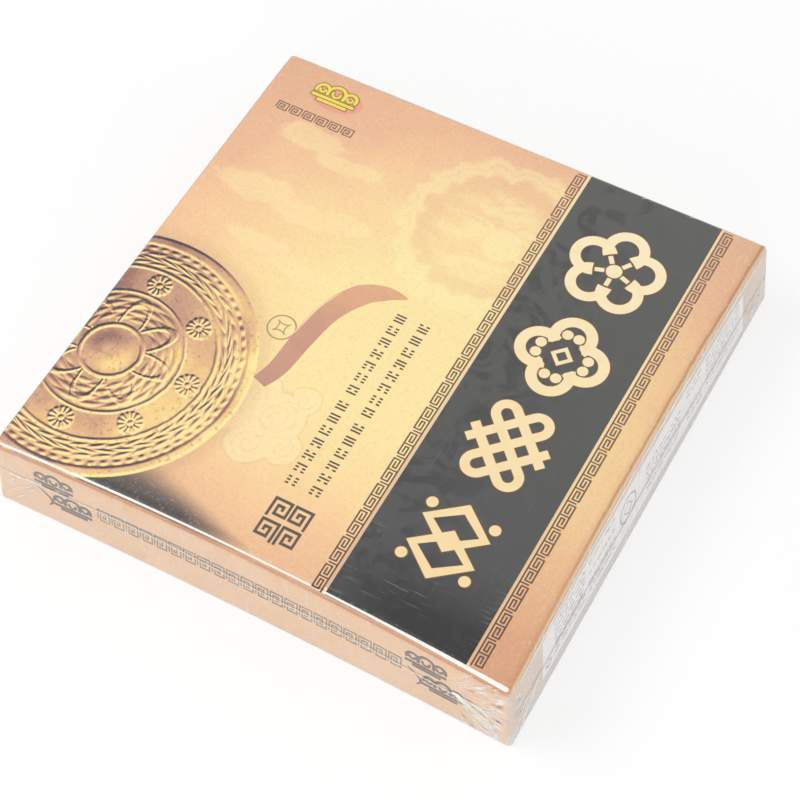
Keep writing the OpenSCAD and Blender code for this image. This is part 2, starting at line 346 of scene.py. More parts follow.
def relief(x, y):
    """Height of the bronze mirror's cast pattern at places in millimetres from its middle."""
    r = span(x, y)
    turn = y.bearing(x)
    rim = r.within(42.6, 45.8, 0.8) * 1.3
    ridge = (r.within(32.6, 33.6, 0.4) + r.within(22.6, 23.4, 0.4) + r.within(9.2, 10.4, 0.4)) * 0.9
    beads = ((turn * 66).cosine() * 0.5 + 0.5) * r.within(40.6, 41.8, 0.3) * 0.9
    vine = (turn * 20 + (r * 1.1).sine() * 2.4).sine() * (r * 1.7).cosine()
    vine = vine.absolute() * r.within(34.6, 39.6, 0.6)
    # eight round studs with petals, each about its own middle
    part = turn.sum("WRAP", math.pi / 8, -math.pi / 8) * STUD_R
    out = r - STUD_R
    stud = span(part, out)
    fold = (out.bearing(part) * 12).cosine() * 0.5 + 0.5
    leaf = stud.within(1.5, 4, 0.4) * (fold * 0.8 + 0.3) + stud.step(1.3, 0.3) * 0.9
    petal = ((turn * 4).cosine().absolute() * 11 + 10.5 - r).within(0.3, 2.6, 0.5)
    petal = petal * r.step(10.4, 11.4) * 0.9
    curl = ((turn * 8 + r * 0.9).sine() * (r * 1.3).sine()).absolute() * r.within(12, 21.8, 0.8)
    boss = r.step(8.8, 2) * 1.6
    return rim + ridge + beads + vine * 1.2 + leaf * 1.2 + petal + curl * 0.8 + boss


def bronze_mirror(ink, ground, blotch):
    """The mirror and its shadow over a ground: its relief is shaded by the slope towards the upper left."""
    x, y = ink.x - MIRROR[0], ink.y - MIRROR[1]
    away = span(x, y)
    warp = (ink.noise(5, 3) - 0.5) * 1.2
    slope = relief(x - 0.3 + warp, y + 0.3) - relief(x + 0.3 + warp, y - 0.3)
    sheen = x * 0.0085 - y * 0.002 + 0.53 + (ink.noise(17, 3) - 0.5) * 0.75
    bronze = ink.ramp(
        sheen + slope * 0.74,
        (0, "22242c"), (0.16, "5a4038"), (0.34, "a47262"), (0.52, "cb9b7c"), (0.68, "e6b680"),
        (0.82, "f5cf86"), (1, "fce79c"),
    )
    bronze = ink.mix(ink.noise(1.8, 4, 0.65).step(0.56, 0.7) * 0.45, bronze, "5c463f")
    # a slate shadow beside it along the front edge
    depth = ink.y + FLAT_FRONT - FRONT_BOW * (1 - (ink.x / FLAT_HALF) ** 2)
    reach = (15 - (ink.x + 44) * 0.33).most(0.5)
    shade = (depth / reach + (blotch - 0.5) * 0.5).step(1.15, 0.1) * ink.x.step(4, -28)
    return ink.over(
        ground,
        (away.step(53, 46) * 0.24, "b98360"),
        (shade * 0.95, "3e3e42"),
        (shade * depth.step(3, 0) * 0.6, "1e1e20"),
        (away.step(46.3, 45.9), bronze),
    )


def top_edges(ink, ground, edge):
    """The band and its rules where they run over the rounded edges, and the browner right margin with painted
    shade along its crease.
    """
    level = ink.z.step(28.25, 28.5)
    margin = ink.x.step(73, 76)
    # painted shade along the crease where the top turns down to the right wall, strongest from the front to
    # the middle
    crease = (edge + (ink.noise(9, 3) - 0.5) * 0.9).within(86.5, 87.2, 0.45)
    crease_shade_share = ink.y.step(-78, -20) * 0.42 + 0.2
    return ink.over(
        ground,
        # painted shadow: browner just below the film's fold round the top edges
        (ink.z.step(28.6, 28.3) * 0.5, "b97f55"),
        (ink.x.within(LEFT_RULE_X[0], RIGHT_RULE_X[1], 0.03) * level, "f7dcaa"),
        # the band greys towards the back here too, a painted reflection of the light behind
        (ink.x.within(*BAND_X, 0.03) * level, ink.mix(ink.depth_share(), "101011", "464644")),
        (margin * 0.28, "d6a27a"),
        (margin * ink.y.step(-20, -90) * 0.5, "cd8c66"),
        (margin * ink.y.step(30, 86) * 0.3, "e2bc9a"),
        # painted shade: a soft brown band and a darker crease line at the right edge
        (edge.within(85.6, 87, 1.2) * 0.34, "c68c68"),
        (crease * crease_shade_share, "95603c"),
        # painted highlight of the film just past the crease, on the turn down to the right wall
        (edge.step(87.2, 87.7) * 0.8, "e8cdb2"),
    )


def wall_paper(ink, edge):
    """Paper on the walls: pinkish tan, brown close under the top edge with a painted shadow under the film's
    fold, and greyer on the right wall as a painted hazy reflection in the film.
    """
    right = edge.step(86.6, 88.2)
    # painted shadow under the film's fold along the top of the walls, weaker on the right wall
    fold = ink.z.within(26.3, 27.9, 0.3) * (ink.noise(5, 4, 0.6, ink.stretched(0.3)) * 1.1 + 0.1)
    return ink.over(
        ink.mix(ink.noise(14, 3), "dab492", "e6c6a8"),
        (ink.z.step(23.5, 28) * (0.62 - right * 0.5), "dba074"),
        ((fold * (0.8 - right * 0.6)).clamped(), "a86a3c"),
        # painted reflection: the film's haze greys the right wall, a little more towards its top
        (right * (0.72 + ink.z.step(20, 27) * 0.1), "cfc0b5"),
        # painted reflection of the white floor in the film, a pale grey strip along the foot of the right
        # wall
        (edge.step(88, 88.6) * ink.z.step(6, 4.4) * 0.7, "d6d2cf"),
    )


def lid_paper_finish():
    """Printed paper of the lid, its top and walls, with fine dark and pale flecks over both."""
    ink = Finish("lid_paper")
    blotch = ink.noise(26, 2)
    edge = ink.x + (1 - (ink.y / 88) ** 2) * RIGHT_BOW
    top = top_edges(ink, bronze_mirror(ink, sky(ink, blotch), blotch), edge)
    fleck = ink.noise(0.9, 2)
    colour = ink.over(
        ink.mix(ink.z.step(27.6, 28.2), wall_paper(ink, edge), top),
        (fleck.step(0.5, 0.78) * 0.14, "b4855c"),
        (fleck.step(0.48, 0.24) * 0.14, "fff6dc"),
    )
    return ink.printed(colour, 0.42 + (ink.noise(0.5, 2) - 0.5) * 0.1)


def ink_finish(name, code, other):
    """A printed colour with a slight mottle, under the same gloss as the paper."""
    ink = Finish(name)
    return ink.printed(ink.mix(ink.noise(3, 4), code, other))


def graded_ink(name, front, back, length, mottle, share):
    """A smooth printed colour that changes over a length backwards, with a faint mottle."""
    ink = Finish(name)
    colour = ink.mix(ink.depth_share(88, length), front, back)
    return ink.printed(ink.mix(ink.noise(3, 4) * share, colour, mottle), wave=0)


def band_finish():
    """Dark ground of the band: blacker towards the front and greyer towards the back as a painted reflection
    of the light behind, with faint smudges and fine slanting scuffs.
    """
    ink = Finish("band_ink")
    smudge = ink.noise(11, 5, 0.62, swirl=1.2).step(0.48, 0.6)
    scuff = ink.noise(1.4, 3, 0.6, ink.stretched(2.2, 0.12, 1, 0.1)).step(0.56, 0.75)
    rub = ink.noise(1.2, 4, 0.6, ink.stretched(0.14, 2, 1, -0.5)).step(0.55, 0.72)
    rub = rub * ink.noise(16, 2).step(0.45, 0.6) * ink.y.step(-30, -70)
    # painted reflection: the ground rises from black at the front to grey at the back
    ground = ink.ramp(
        ink.depth_share(),
        (0, "060607"), (0.06, "161617"), (0.11, "363636"), (0.18, "474747"), (0.5, "4c4c4a"),
        (1, "525250"),
    )
    colour = ink.over(
        ground,
        (ink.x.step(48, 28) * ink.y.step(-40, -66) * 0.5, "4a4a4a"),
        (smudge * 0.45 * ink.x.step(66, 34), "131316"),
        (scuff * 0.1, "9a9896"),
        (rub * 0.24, "b0b0b0"),
    )
    return ink.printed(colour, 0.4, specular_ior_level=0.2, coat_weight=0.42)


def gold_finish():
    """Cream gold of the four ornaments, a little deeper towards the front."""
    ink = Finish("gold_ink")
    colour = ink.mix(ink.depth_share(80, 160), "f6d79e", "fcecc2")
    colour = ink.mix(ink.noise(4, 4).step(0.45, 0.75) * 0.25, colour, "f3c882")
    return ink.printed(colour, 0.36, 0.01)


def ribbon_finish():
    """Silk ribbon of the mirror: greyed pink at the mirror, orange at its far end."""
    ink = Finish("ribbon_ink")
    weave = ink.noise(1, 3, 0.6, ink.stretched(0.5, 2, 1, 0.6))
    colour = ink.over(
        ink.mix(ink.depth_share(34, 52), "c6937f", "ecb486"),
        (weave * 0.35, "ab7460"),
        (ink.noise(12, 2).step(0.45, 0.65) * 0.3, "b5807a"),
    )
    return ink.printed(colour, wave=0)


def film_finish():
    """Clear shrink film: nearly unseen on the flat, with painted highlights in white streaks on the walls,
    and drawn into fans at its corners with painted highlights on their rays and painted shade between them.
    """
    film = Finish("shrink_film")
    streak = film.noise(1.6, 4, 0.6, film.stretched(0.16, 1.6, 1, 0.5)).step(0.6, 0.8)
    # painted highlights: slanting white streaks where wrinkles on the walls catch light
    wall_glint = film.noise(1.3, 4, 0.6, film.stretched(0.5, 0.5, 0.12)).step(0.52, 0.74)
    wall = film.z.step(27.8, 26.6)
    # radial streaks about the place where the weld leaves the wall, a little short of each corner
    along = film.x.absolute().least(film.y.absolute())
    reach = along - 64
    fan = film.node("CombineXYZ", {}, (film.z - 13).bearing(reach) * 20, reach * 0.16, film.x * 0.02)
    rays = film.noise(1, 4, 0.65, fan, 0.3)
    near = reach.step(3, 15) * along.step(87.6, 84.5)
    near = near * (0.18 + film.x.step(0, 60) * film.y.step(-80, -88) * 0.82)
    # painted highlights on the fan's rays, and painted shade in brown between them
    colour = film.mix(near * rays.step(0.5, 0.34), "ffffff", "9c663e")
    drawn = near * (rays - 0.47).absolute().step(0.055, 0.13) * 0.58
    # the walls' streak highlights are stronger on the right wall, painted haze there
    wall_glint_share = 0.12 + film.x.step(86, 88.5) * 0.22
    alpha = 0.012 + streak * 0.03 + wall * wall_glint * wall_glint_share + wall * drawn
    ripple = film.noise(7, 3) + film.noise(1.6, 2, 0.5, film.stretched(z=0.2)) * 0.3
    return film.done(colour, 0.1, alpha=alpha.clamped(), normal=film.bump(ripple + rays * near * 2, 0.14))


def base_film_finish():
    """The film left under the base: calm and clear, with a few long creases."""
    film = Finish("base_film")
    crease = film.noise(2, 3, 0.6, film.stretched(0.12, 1.2, 1, 0.7)).step(0.62, 0.8)
    return film.done("ffffff", 0.12, alpha=0.04 + crease * 0.12, normal=film.bump(film.noise(8, 2), 0.1))


def weld_finish():
    """Welded bead, pleats and folds of the film: glossy, and nearly opaque white as a painted highlight of
    the clear film on these ridges.
    """
    film = Finish("film_weld")
    glint_alpha = 0.7 + film.noise(1.5, 3) * 0.3
    return film.done("fffdf8", 0.16, alpha=glint_alpha, normal=film.bump(film.noise(0.6, 2), 0.05))


def plain_paper_finish(name, code, other):
    """Uncoated or lightly coated paper with a fine tooth."""
    paper = Finish(name)
    colour = paper.mix(paper.noise(8, 4), code, other)
    colour = paper.mix(paper.noise(0.4, 2).step(0.55, 0.8) * 0.15, colour, "ffffff")
    tooth = paper.bump(paper.noise(0.5, 3), 0.02)
    return paper.done(colour, 0.62, normal=tooth, coat_weight=0.15, coat_roughness=0.3)


def board_finish():
    """Grey board: pressed pulp with pale and dark fibres and dark specks."""
    board = Finish("grey_board")
    fibre = board.noise(0.9, 5, 0.65, board.stretched(0.4, 1.4, 3, 0.4))
    colour = board.ramp(fibre, (0.25, "8d8a83"), (0.5, "a9a59c"), (0.75, "c2beb4"))
    speck = board.node("TexVoronoi", {}, board.place, 1 / 1.3).step(0.16, 0.05)
    return board.done(board.mix(speck * 0.5, colour, "6b675f"), 0.85, normal=board.bump(fibre, 0.08))


def tray_finish():
    """Formed plastic sheet of the tray: pale and glossy, with a soft grain and fine scuffs."""
    tray = Finish("tray_sheet")
    colour = tray.mix(tray.noise(20, 3), "e4e1da", "f0eee8")
    scuff = tray.noise(1, 4, 0.6, tray.stretched(0.3, 1.5, 1, 0.7)).step(0.6, 0.8)
    colour = tray.mix(scuff * 0.3, colour, "ffffff")
    grain = tray.bump(tray.noise(2.5, 2), 0.03)
    return tray.done(colour, 0.22 + scuff * 0.25, normal=grain, coat_weight=0.3)


def wood_finish(name, pale, mid, dark):
    """Varnished turned wood: growth rings cut across, and fine pores along the grain."""
    wood = Finish(name)
    bend = wood.noise(24, 3)
    rings = (wood.x * 1.15 + wood.y * 0.05 + wood.z * 0.5 + bend * 12).sine() * 0.5 + 0.5
    pores = wood.noise(0.6, 4, 0.6, wood.stretched(3.2, 0.14, 1.2, 0.08))
    tree = wood.noise(90, 1)
    colour = wood.ramp(rings * 0.4 + pores * 0.35 + tree * 0.25, (0.2, dark), (0.5, mid), (0.8, pale))
    colour = wood.mix(pores.step(0.58, 0.7) * 0.55, colour, dark)
    roughness = 0.38 + pores * 0.15
    return wood.done(colour, roughness, normal=wood.bump(pores, 0.03), coat_weight=0.5, coat_roughness=0.18)


def paint_finish(name, code, deep):
    """Enamel paint of the marks on the game pieces, pooled a little darker at places."""
    paint = Finish(name)
    colour = paint.mix(paint.noise(1.8, 3), code, deep)
    ripple = paint.bump(paint.noise(0.9, 2), 0.02)
    return paint.done(colour, 0.28, normal=ripple, coat_weight=0.4, coat_roughness=0.1)


def floor_finish():
    """White floor that keeps a soft part of the object's shadow."""
    floor = Finish("floor")
    shaded = floor.node("BsdfDiffuse", {}, floor.mix(floor.noise(300, 1), "fbfbfb", "ffffff"))
    white = floor.node("Emission", {}, (1, 1, 1, 1), 1)
    return floor.close(floor.node("MixShader", {}, floor.seen() * 0.7, shaded, white))


# Print shapes

def heading(degrees):
    """A flat way at an angle from the right."""
    turn = math.radians(degrees)
    return Vector((math.cos(turn), math.sin(turn)))


def set_at(middle, size=(1, 1), angle=0):
    """Matrix that scales flat shapes, turns them by radians and puts them at a middle."""
    turn = Matrix.Rotation(angle, 4, "Z")
    return Matrix.Translation(Vector(middle).to_3d()) @ turn @ Matrix.Diagonal((*size, 1, 1))


def faces_of(made):
    """Faces on the vertices that an operator made."""
    return {f for v in made["verts"] for f in v.link_faces}


def smooth_path(points, share):
    """Place and heading at a share of the way along a smooth curve through points."""
    spans = len(points) - 1
    at = min(int(share * spans), spans - 1)
    t = share * spans - at
    a, b, c, d = (Vector(points[min(max(at + k, 0), spans)]) for k in (-1, 0, 1, 2))
    bend = a * 2 - b * 5 + c * 4 - d
    twist = b * 3 - a - c * 3 + d
    place = (b * 2 + (c - a) * t + bend * t ** 2 + twist * t ** 3) / 2
    return place, (c - a + bend * 2 * t + twist * 3 * t ** 2).normalized()


def turn_outward(mesh):
    """Turns round each closed shell of a mesh that still faces inwards."""
    waiting = set(mesh.faces)
    while waiting:
        shell = [waiting.pop()]
        for face in shell:
            near = {f for e in face.edges for f in e.link_faces if f in waiting}
            waiting -= near
            shell.extend(near)
        middle = shell[0].calc_center_median()
        room = 0
        for face in shell:
            first, *rest = (v.co - middle for v in face.verts)
            room += sum(first.dot(a.cross(b)) for a, b in zip(rest, rest[1:]))
        if room < 0:
            bmesh.ops.reverse_faces(mesh, faces=shell)


class Sheet:
    """Printed shapes laid flat in millimetres, each raised to its own hair's height over a floor height."""

    STEP = 0.0006

    def __init__(self, floor=PRINT_FLOOR, depth=0.004, grow=0):
        self.mesh = bmesh.new()
        self.floor = floor
        self.depth = depth
        self.grow = grow
        self.laid = 0

    def raised(self, faces):
        """Turns new flat faces into a closed prism that stands a little over the one before."""
        verts = {v for f in faces for v in f.verts}
        bmesh.ops.translate(self.mesh, verts=list(verts), vec=(0, 0, self.floor))
        made = bmesh.ops.extrude_face_region(self.mesh, geom=list(faces))
        tops = [g for g in made["geom"] if isinstance(g, bmesh.types.BMVert)]
        height = self.depth + self.laid * self.STEP
        bmesh.ops.translate(self.mesh, verts=tops, vec=(0, 0, height))
        self.laid += 1
        return tops

    def plate(self, middle, size, cells=(1, 1), angle=0):
        """A filled rectangle, cut into cells each way."""
        made = bmesh.ops.create_grid(
            self.mesh, x_segments=cells[0], y_segments=cells[1], size=0.5, matrix=set_at(middle, size, angle)
        )
        self.raised(faces_of(made))

    def bar(self, start, end, width, cells=1):
        """A straight stroke from start to end."""
        start, end = Vector(start), Vector(end)
        way = end - start
        size = (way.length + 2 * self.grow, width + 2 * self.grow)
        self.plate((start + end) / 2, size, (cells, 1), math.atan2(way.y, way.x))

    def arc(self, middle, radius, width, start=0, sweep=360):
        """A round stroke; a sweep of 360 closes it."""
        half = width / 2 + self.grow
        more = 0 if sweep >= 360 else math.degrees(self.grow / radius)
        way = heading(start - more).to_3d()
        middle = Vector(middle).to_3d()
        ends = [self.mesh.verts.new(middle + way * r) for r in (radius - half, radius + half)]
        edge = self.mesh.edges.new(ends)
        angle = math.radians(sweep + 2 * more)
        steps = max(6, int(abs(angle) * (radius + half) / 0.9))
        before = set(self.mesh.faces)
        bmesh.ops.spin(
            self.mesh, geom=[edge] + ends, cent=middle, axis=UP, angle=angle,
            steps=min(steps, 64), use_merge=sweep >= 360,
        )
        self.raised(set(self.mesh.faces) - before)

    def ribbon(self, points, widths, cells=24, crown=0):
        """A stroke along a smooth curve; its widths run from start to end, and a crown lifts its middle."""
        made = bmesh.ops.create_grid(self.mesh, x_segments=cells, y_segments=4, size=0.5)
        foot = made["verts"]
        tops = self.raised(faces_of(made))
        for verts, lift in ((foot, 0), (tops, crown)):
            for v in verts:
                share, side = v.co.x + 0.5, v.co.y * 2
                place, way = smooth_path(points, share)
                at = min(int(share * (len(widths) - 1)), len(widths) - 2)
                part = share * (len(widths) - 1) - at
                half = (widths[at] + (widths[at + 1] - widths[at]) * part) / 2 + self.grow
                v.co.x = place.x - way.y * side * half
                v.co.y = place.y + way.x * side * half
                v.co.z += lift * (1 - side * side)

    def disc(self, middle, radius, sides=24):
        """A filled round or many-sided spot."""
        made = bmesh.ops.create_circle(
            self.mesh, cap_ends=True, segments=sides, radius=radius + self.grow, matrix=set_at(middle)
        )
        self.raised(faces_of(made))

    def lozenge(self, middle, wide, high, stroke):
        """An upright lozenge frame."""
        more = self.grow * 1.414
        place = set_at(middle, (wide / 2 + more, high / 2 + more))
        made = bmesh.ops.create_circle(self.mesh, cap_ends=True, segments=4, radius=1, matrix=place)
        faces = list(faces_of(made))
        bmesh.ops.inset_individual(self.mesh, faces=faces, thickness=stroke + 2 * self.grow)
        bmesh.ops.delete(self.mesh, geom=faces, context="FACES")
        self.raised(faces_of(made))

    def stencil(self, rows, corner, cell):
        """Cells of a drawn pattern, from its back left corner: a hash is ink."""
        wide, high = len(rows[0]), len(rows)
        size = (wide * cell[0], high * cell[1])
        place = set_at((corner[0] + size[0] / 2, corner[1] - size[1] / 2), size)
        made = bmesh.ops.create_grid(self.mesh, x_segments=wide, y_segments=high, size=0.5, matrix=place)
        faces = faces_of(made)
        blank = []
        for f in faces:
            spot = f.calc_center_median()
            column = int((spot.x - corner[0]) / cell[0])
            row = int((corner[1] - spot.y) / cell[1])
            if rows[row][column] != "#":
                blank.append(f)
        bmesh.ops.delete(self.mesh, geom=blank, context="FACES")
        self.raised(faces - set(blank))

    def moved(self, middle, size=(1, 1)):
        """Moves all that is laid, drawn about the origin, to a middle."""
        bmesh.ops.transform(self.mesh, matrix=set_at(middle, size), verts=self.mesh.verts)

    def press(self, skin, level, tip=0):
        """Bends the sheet, laid out along a side and up it, onto a skin, from straight out or tipped up."""
        out = level * math.cos(tip) + UP * math.sin(tip)
        up = UP * math.cos(tip) - level * math.sin(tip)
        along = UP.cross(level)
        for v in self.mesh.verts:
            start = (along * v.co.x + up * v.co.y + out * 150) * MM
            hit, normal, _, _ = skin.ray_cast(start, -out)
            v.co = hit / MM + normal * v.co.z

    def piece(self, name, finish, slot="printed_paper", body="lid"):
        """Ends the sheet as a piece of the object."""
        bmesh.ops.recalc_face_normals(self.mesh, faces=self.mesh.faces)
        turn_outward(self.mesh)
        bmesh.ops.scale(self.mesh, vec=(MM, MM, MM), verts=self.mesh.verts)
        make_piece(name, self.mesh, finish, body)


def make_piece(name, mesh, finish, body="lid", smooth=False):
    """Links a finished mesh as a piece that rides on a body and takes the given finish."""
    data = mesh_data(name, mesh)
    data.materials.append(finish)
    if smooth:
        data.shade_smooth()
    piece = new_object(name, data)
    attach(piece, body)
    return piece


# Ornaments, drawn about the origin

def endless_knot(sheet, size, stroke):
    """A knot of three bars each way with looped ends, set on its corner."""
    gap = size * 0.26
    reach = size * 0.42
    a, b = heading(45), heading(135)
    for along, across in ((a, b), (b, a)):
        for k in (-1, 0, 1):
            middle = across * k * gap
            sheet.bar(middle - along * reach, middle + along * reach, stroke)
    for along, across, turn in ((a, b, 45), (b, a, 135)):
        for end in (1, -1):
            middle = along * end * reach + across * end * gap / 2
            sheet.arc(middle, gap / 2, stroke, turn - 90 * end, 180)


def plum_blossom(sheet, size, stroke):
    """Five open petals round a centre with stamens."""
    for turn in range(90, 450, 72):
        sheet.arc(heading(turn) * size * 0.29, size * 0.19, stroke, turn - 130, 260)
        leaf = heading(turn + 36)
        sheet.bar(leaf * size * 0.1, leaf * size * 0.2, stroke * 0.45)
    sheet.disc((0, 0), size * 0.085)


def ruyi_quatrefoil(sheet, size, stroke):
    """Four scrolled lobes round a lozenge."""
    for turn in (0, 90, 180, 270):
        way, side = heading(turn), heading(turn + 90)
        sheet.arc(way * size * 0.26, size * 0.2, stroke, turn - 128, 256)
        for hand in (-1, 1):
            sheet.disc(way * size * 0.27 + side * hand * size * 0.065, stroke * 0.5, 16)
    sheet.lozenge((0, 0), size * 0.26, size * 0.26, stroke * 0.5)


def double_lozenge(sheet, size, stroke):
    """Two lozenge frames linked one over the other, with beads at their sides."""
    for y in (-0.17, 0.17):
        sheet.lozenge((0, y * size), size * 0.78, size * 0.62, stroke)
    sheet.disc((0, 0), stroke * 0.55, 4)
    for x in (-0.36, 0.36):
        sheet.disc((x * size, 0.33 * size), stroke * 0.5, 16)
        sheet.disc((x * size, -0.33 * size), stroke * 0.5, 16)


def coin(sheet, size, stroke):
    """A round coin whose square hole has hollow sides."""
    sheet.arc((0, 0), size / 2 - stroke / 2, stroke)
    for turn in (0, 90, 180, 270):
        sheet.arc(heading(turn) * size * 0.47, size * 0.34, stroke * 0.8, turn + 138, 84)


def wheel(sheet, size, stroke):
    """A ring with eight spokes."""
    sheet.arc((0, 0), size * 0.44, stroke)
    sheet.disc((0, 0), size * 0.1, 16)
    for turn in range(0, 360, 45):
        sheet.bar(heading(turn) * size * 0.16, heading(turn) * size * 0.37, stroke * 0.7)


def rings(sheet, size, stroke):
    """Two rings, one within the other, and a spot."""
    sheet.arc((0, 0), size * 0.43, stroke)
    sheet.arc((0, 0), size * 0.24, stroke)
    sheet.disc((0, 0), size * 0.08, 16)


def cloud_scroll(sheet, size, stroke, middle=(0, 0)):
    """A level row of three curls over a long foot."""
    x0, y0 = middle
    for x, r in ((-0.3, 0.13), (0, 0.18), (0.3, 0.13)):
        sheet.arc((x0 + x * size, y0 + 0.1 * size), r * size, stroke, -30, 240)
        sheet.arc((x0 + x * size, y0 + 0.1 * size), r * size * 0.45, stroke * 0.8, 150, 240)
    for y, left, right in ((-0.06, -0.46, 0.46), (-0.15, -0.3, 0.34)):
        sheet.bar((x0 + left * size, y0 + y * size), (x0 + right * size, y0 + y * size), stroke)


def stepped_clouds(sheet, size, stroke):
    """Two cloud scrolls, the lower one further on, joined by a bent stem."""
    cloud_scroll(sheet, size * 0.72, stroke, (-size * 0.14, size * 0.19))
    cloud_scroll(sheet, size * 0.72, stroke, (size * 0.15, -size * 0.2))
    stem = [(-size * 0.42, 0), (-size * 0.2, -size * 0.2), (-size * 0.26, -size * 0.34)]
    sheet.ribbon(stem, [0.3, stroke, 0.4], 12)


# Stencils: a hash is ink. A fret is one spiral and its mirror image
SPIRAL = """
......#
#####.#
#...#.#
#.#.#.#
#.#.#.#
#.#.#.#
#.#.#.#
#.###.#
#.....#
""".split()
FRET = [".######", *SPIRAL, "#######", *reversed(SPIRAL)]
FRET_CELL = (0.533, 0.511)
FRET_PERIODS = 17
SEAL = """
#######
#.....#
#.###.#
#.#.#.#
#.#...#
#.#####
#......
""".split()
MEANDER = """
##########
#........#
#.#####..#
#.#...#..#
#.#.#.#..#
#.#.###..#
#.#......#
..########
""".split()
# Three-line signs, from their back line to their front one: 1 is whole and 0 is broken
SIGNS = ("111", "010", "101", "001", "100", "011", "110", "000")
ORNAMENTS = (
    (56.5, plum_blossom, 31, 3.5), (19.6, ruyi_quatrefoil, 30, 3.6),
    (-16.9, endless_knot, 26, 3.1), (-54.4, double_lozenge, 29, 3.7),
)


def mirrored(rows):
    """A stencil's rows turned left to right."""
    return [row[::-1] for row in rows]


def front_edge(x):
    """Front limit of the flat top at a place across it, in millimetres, where the edge starts to round."""
    return FRONT_BOW * max(0, 1 - (x / FLAT_HALF) ** 2) - FLAT_FRONT


def print_in_layers(draw, size, stroke, middle, layers):
    """Prints an ornament once for each layer's name, floor height, growth of its strokes and ink."""
    for layer, floor, grow, ink in layers:
        sheet = Sheet(floor, 0.002, grow)
        draw(sheet, size, stroke)
        sheet.moved(middle)
        sheet.piece(f"print_{draw.__name__}_{layer}", ink)


def make_band(cream):
    """The dark band with its rules and ornaments, and a fret band outside each rule."""
    for name, limits, depth, ink in (
        ("print_band", BAND_X, 0.003, band_finish()),
        ("print_rule_left", LEFT_RULE_X, 0.005, cream),
        ("print_rule_right", RIGHT_RULE_X, 0.005, cream),
    ):
        sheet = Sheet(depth=depth)
        low, high = limits
        sheet.bar((low, 0), (high, 0), 2 * FLAT_BACK, 12)
        for v in sheet.mesh.verts:
            v.co.y = FLAT_BACK if v.co.y > 0 else front_edge(v.co.x)
        sheet.piece(name, ink)
    # the spirals of each fret lie on its outward side
    brown = graded_ink("fret_ink", "4a3326", "7c5b46", 176, "8a6a50", 0.3)
    for name, spine, columns, rows in (("left", 24.85, 6.5, FRET), ("right", 73.85, 0.5, mirrored(FRET))):
        sheet = Sheet()
        sheet.stencil(rows * FRET_PERIODS, (spine - FRET_CELL[0] * columns, FLAT_BACK), FRET_CELL)
        sheet.piece(f"print_fret_{name}", brown)
    outline = ink_finish("edge_ink", "6a4526", "7a5330")
    layers = (("edge", 29.357, 0.32, outline), ("gold", FILL_FLOOR, 0, gold_finish()))
    for y, *ornament in ORNAMENTS:
        print_in_layers(*ornament, (BAND_MIDDLE, y), layers)


def make_small_prints(cream):
    """Signs, seal, coin, cloud scroll, short meander row and ribbon on the ground beside the band."""
    # two columns of small three-line signs
    signs = Sheet()
    for column, x in enumerate((-1.4, 6.8)):
        for k in range(14):
            y = 8.4 - k * 5 - (1.6 if k > 6 + column else 0)
            lines = ["###" if bit == "1" else "#.#" for bit in SIGNS[(k * 3 + column * 5) % 8]]
            signs.stencil([lines[0], "...", lines[1], "...", lines[2]], (x - 1.74, y + 1.55), (1.16, 0.6))
    signs.piece("print_signs", ink_finish("sign_ink", "43352b", "574535"))
    # a seal of four turned frets
    seal = Sheet()
    for k, place in enumerate(((-2.8, -64.8), (4.2, -64.8), (4.2, -72.6), (-2.8, -72.6))):
        seal.stencil(mirrored(SEAL) if k % 2 else SEAL, place, (0.92, 1.02))
    seal.piece("print_seal", ink_finish("seal_ink", "4b3e37", "5e5047"))
    # a coin by the ribbon, and a cloud scroll on an oval over a short meander row at the back left
    mark = Sheet(depth=0.003)
    coin(mark, 9.6, 0.5)
    mark.moved((-32.6, -11.6))
    mark.piece("print_coin", ink_finish("coin_ink", "bd976c", "aa845c"))
    spot = Sheet(depth=0.002)
    spot.disc((0, 0), 1, 40)
    spot.moved((-64, 77.6), (9.6, 5.4))
    spot.piece("print_oval", ink_finish("rose_ink", "f09c8c", "eba08c"))
    print_in_layers(cloud_scroll, 17.5, 1.15, (-65, 77.6), (
        ("edge", 29.355, 0.42, ink_finish("olive_ink", "8a7426", "9c8430")),
        ("fill", FILL_FLOOR, 0, ink_finish("yellow_ink", "f6e060", "efd24c")),
    ))
    row = Sheet()
    for k in range(6):
        row.stencil(MEANDER, (-81 + k * 5, 68.6), (0.44, 0.44))
    row.piece("print_meander", ink_finish("small_ink", "6f5442", "80634d"))
    # the mirror's ribbon: an open curve, widest towards its far end, with a light along its left edge
    ribbon = Sheet(depth=0.003)
    route = [
        (-28.4, -32.5), (-25.8, -25), (-24.6, -12.5), (-22.4, 0.5), (-17, 10.5), (-10, 15),
        (-3, 16.4),
    ]
    ribbon.ribbon(route, [5.2, 6.4, 7.2, 8, 8.2, 5.6, 0.3], 48)
    ribbon.piece("print_ribbon", ribbon_finish())
    light = Sheet(FILL_FLOOR, 0.002)
    light.ribbon([(-28.4, -14), (-27.4, -6), (-25.9, 1.6), (-22.6, 9)], [0.1, 0.9, 0.8, 0.1], 20)
    light.piece("print_ribbon_light", cream)


def make_top_prints():
    """What is printed crisply on the lid's top."""
    cream = graded_ink("cream_ink", "d9a684", "f8dfae", 110, "f3d39f", 0.4)
    make_band(cream)
    make_small_prints(cream)


def skin_of(name):
    """A search tree over an object's faces."""
    mesh = bmesh.new()
    mesh.from_mesh(bpy.data.objects[name].data)
    tree = BVHTree.FromBMesh(mesh)
    mesh.free()
    return tree


WALL_FLOOR = 0.006
PANEL_Y = (-69, 70.6)
PANEL_Z = (5.6, 26.1)
